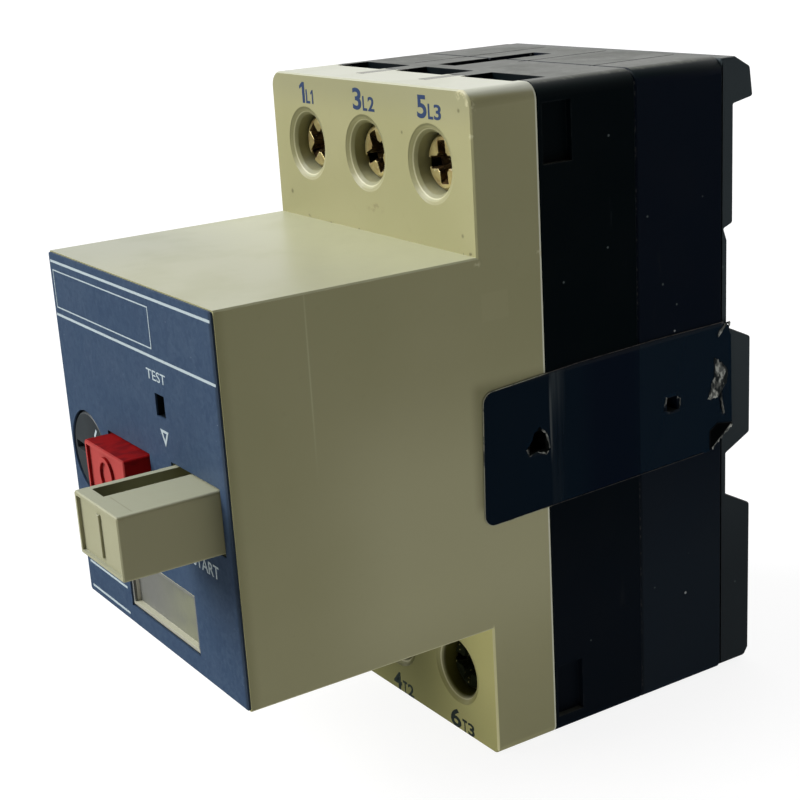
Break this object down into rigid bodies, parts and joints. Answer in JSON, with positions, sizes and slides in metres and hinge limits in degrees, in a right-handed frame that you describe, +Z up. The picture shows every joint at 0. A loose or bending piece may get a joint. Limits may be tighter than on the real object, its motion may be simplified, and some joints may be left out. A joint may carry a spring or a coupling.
{
  "type": "motor protection circuit breaker",
  "caption": "Modular motor protection breaker for a 35 mm rail: raised nose with a start and a stop push button, setting dial, test slot, screw terminals above and below, catch at the rear.",
  "frame": {"origin": "middle of the face that sits on the rail", "axes": "+X across the poles to the start button's side, +Y from the front to the rail, +Z up to the line terminals"},
  "size_m": [0.0452, 0.0884, 0.0818],
  "materials": {
    "beige_plastic": "satin moulded",
    "beige_button": "satin moulded",
    "blue_plate": "satin printed",
    "clear_window": "clear",
    "pale_card": "plain",
    "black_plastic": "satin moulded",
    "label_film": "glossy film",
    "red_plastic": "satin moulded",
    "dial_plastic": "satin moulded",
    "pale_plastic": "plain",
    "steel": "zinc plated",
    "yellow_zinc": "yellow passivated",
    "copper": "bare copper"
  },
  "bodies": {
    "housing": {"front_cover": "beige_plastic", "face_plate": "blue_plate", "rating_window": "clear_window", "rating_card": "pale_card", "contact_housing": "black_plastic", "rear_housing": "black_plastic", "rail_mount_plate": "black_plastic", "side_label": "label_film", "mechanism_frame": "steel", "latch_pin": "steel", "arc_chutes": "steel", "coil_bobbins": "pale_plastic", "coil_yokes": "steel", "bimetal_strips": "copper", "start_spring": "steel", "stop_spring": "steel", "rail_latch_spring": "steel", "opening_springs": "steel", "housing_screws": "steel", "line_contact_1": "copper", "load_contact_1": "copper", "load_terminal_1": "copper", "trip_coil_1": "copper", "line_contact_2": "copper", "load_contact_2": "copper", "load_terminal_2": "copper", "trip_coil_2": "copper", "line_contact_3": "copper", "load_contact_3": "copper", "load_terminal_3": "copper", "trip_coil_3": "copper"},
    "start": {"start_button": "beige_button"},
    "carrier": {"contact_carrier": "pale_plastic", "moving_contact_1": "copper", "moving_contact_2": "copper", "moving_contact_3": "copper", "contact_springs": "steel", "closing_spring": "steel"},
    "stop": {"stop_button": "red_plastic"},
    "latch": {"latch_lever": "steel"},
    "test": {"test_slider": "dial_plastic"},
    "trip": {"trip_frame": "pale_plastic"},
    "dial": {"setting_dial": "dial_plastic"},
    "thermal": {"thermal_slide": "pale_plastic"},
    "rail_catch": {"rail_latch": "black_plastic"},
    "plunger_1": {"plunger_1": "steel"},
    "line_clamp_1": {"line_clamp_1": "yellow_zinc"},
    "line_screw_1": {"line_screw_1": "yellow_zinc"},
    "load_clamp_1": {"load_clamp_1": "yellow_zinc"},
    "load_screw_1": {"load_screw_1": "yellow_zinc"},
    "plunger_2": {"plunger_2": "steel"},
    "line_clamp_2": {"line_clamp_2": "yellow_zinc"},
    "line_screw_2": {"line_screw_2": "yellow_zinc"},
    "load_clamp_2": {"load_clamp_2": "yellow_zinc"},
    "load_screw_2": {"load_screw_2": "yellow_zinc"},
    "plunger_3": {"plunger_3": "steel"},
    "line_clamp_3": {"line_clamp_3": "yellow_zinc"},
    "line_screw_3": {"line_screw_3": "yellow_zinc"},
    "load_clamp_3": {"load_clamp_3": "yellow_zinc"},
    "load_screw_3": {"load_screw_3": "yellow_zinc"}
  },
  "joints": [
    {"name": "start_push", "type": "slide", "parent": "housing", "child": "start", "axis": [0, 1, 0], "range_m": [0, 0.009], "stiffness_N_per_m": 300, "springref_m": -0.003, "deforming": ["start_spring", "closing_spring"]},
    {"name": "contact_close", "type": "slide", "parent": "housing", "child": "carrier", "axis": [0, 1, 0], "range_m": [0, 0.003], "deforming": ["opening_springs"]},
    {"name": "stop_push", "type": "slide", "parent": "housing", "child": "stop", "axis": [0, 1, 0], "range_m": [0, 0.003], "stiffness_N_per_m": 300, "springref_m": -0.003, "deforming": ["stop_spring"]},
    {"name": "latch_swing", "type": "hinge", "parent": "housing", "child": "latch", "pos_m": [-0.0037, -0.0454, -0.01], "axis": [-1, 0, 0], "range_deg": [0, 27]},
    {"name": "test_push", "type": "slide", "parent": "housing", "child": "test", "axis": [0, 0, -1], "range_m": [0, 0.0025], "stiffness_N_per_m": 200, "springref_m": -0.003},
    {"name": "trip_swing", "type": "hinge", "parent": "housing", "child": "trip", "pos_m": [0, -0.044, 0.015], "axis": [-1, 0, 0], "range_deg": [0, 4]},
    {"name": "dial_turn", "type": "hinge", "parent": "housing", "child": "dial", "pos_m": [-0.0164, -0.0721, -0.0045], "axis": [0, 1, 0], "range_deg": [-120, 120]},
    {"name": "thermal_push", "type": "slide", "parent": "housing", "child": "thermal", "axis": [0, -1, 0], "range_m": [0, 0.0015], "stiffness_N_per_m": 100, "springref_m": -0.002},
    {"name": "rail_catch_pull", "type": "slide", "parent": "housing", "child": "rail_catch", "axis": [0, 0, -1], "range_m": [0, 0.004], "stiffness_N_per_m": 1500, "springref_m": -0.002, "deforming": ["rail_latch_spring"]},
    {"name": "plunger_1_strike", "type": "slide", "parent": "housing", "child": "plunger_1", "axis": [0, -1, 0], "range_m": [0, 0.002], "stiffness_N_per_m": 150, "springref_m": -0.002},
    {"name": "line_clamp_1_slide", "type": "slide", "parent": "housing", "child": "line_clamp_1", "axis": [0, 1, 0], "range_m": [0, 0.0056]},
    {"name": "line_screw_1_turn", "type": "hinge", "parent": "line_clamp_1", "child": "line_screw_1", "pos_m": [-0.0141, -0.0371, 0.0304], "axis": [0, 1, 0], "range_deg": [0, 2880]},
    {"name": "load_clamp_1_slide", "type": "slide", "parent": "housing", "child": "load_clamp_1", "axis": [0, 1, 0], "range_m": [0, 0.0056]},
    {"name": "load_screw_1_turn", "type": "hinge", "parent": "load_clamp_1", "child": "load_screw_1", "pos_m": [-0.0141, -0.0371, -0.03385], "axis": [0, 1, 0], "range_deg": [0, 2880]},
    {"name": "plunger_2_strike", "type": "slide", "parent": "housing", "child": "plunger_2", "axis": [0, -1, 0], "range_m": [0, 0.002], "stiffness_N_per_m": 150, "springref_m": -0.002},
    {"name": "line_clamp_2_slide", "type": "slide", "parent": "housing", "child": "line_clamp_2", "axis": [0, 1, 0], "range_m": [0, 0.0056]},
    {"name": "line_screw_2_turn", "type": "hinge", "parent": "line_clamp_2", "child": "line_screw_2", "pos_m": [0, -0.0371, 0.0304], "axis": [0, 1, 0], "range_deg": [0, 2880]},
    {"name": "load_clamp_2_slide", "type": "slide", "parent": "housing", "child": "load_clamp_2", "axis": [0, 1, 0], "range_m": [0, 0.0056]},
    {"name": "load_screw_2_turn", "type": "hinge", "parent": "load_clamp_2", "child": "load_screw_2", "pos_m": [0, -0.0371, -0.03385], "axis": [0, 1, 0], "range_deg": [0, 2880]},
    {"name": "plunger_3_strike", "type": "slide", "parent": "housing", "child": "plunger_3", "axis": [0, -1, 0], "range_m": [0, 0.002], "stiffness_N_per_m": 150, "springref_m": -0.002},
    {"name": "line_clamp_3_slide", "type": "slide", "parent": "housing", "child": "line_clamp_3", "axis": [0, 1, 0], "range_m": [0, 0.0056]},
    {"name": "line_screw_3_turn", "type": "hinge", "parent": "line_clamp_3", "child": "line_screw_3", "pos_m": [0.0141, -0.0371, 0.0304], "axis": [0, 1, 0], "range_deg": [0, 2880]},
    {"name": "load_clamp_3_slide", "type": "slide", "parent": "housing", "child": "load_clamp_3", "axis": [0, 1, 0], "range_m": [0, 0.0056]},
    {"name": "load_screw_3_turn", "type": "hinge", "parent": "load_clamp_3", "child": "load_screw_3", "pos_m": [0.0141, -0.0371, -0.03385], "axis": [0, 1, 0], "range_deg": [0, 2880]}
  ],
  "couplings": [
    {"joint": "contact_close", "follows": "start_push", "ratio": 0.33333},
    {"joint": "latch_swing", "follows": "stop_push", "rad_per_m": 157},
    {"joint": "trip_swing", "follows": "test_push", "rad_per_m": 27.9},
    {"joint": "line_screw_1_turn", "follows": "line_clamp_1_slide", "rad_per_m": 8975.9},
    {"joint": "load_screw_1_turn", "follows": "load_clamp_1_slide", "rad_per_m": 8975.9},
    {"joint": "line_screw_2_turn", "follows": "line_clamp_2_slide", "rad_per_m": 8975.9},
    {"joint": "load_screw_2_turn", "follows": "load_clamp_2_slide", "rad_per_m": 8975.9},
    {"joint": "line_screw_3_turn", "follows": "line_clamp_3_slide", "rad_per_m": 8975.9},
    {"joint": "load_screw_3_turn", "follows": "load_clamp_3_slide", "rad_per_m": 8975.9}
  ]
}
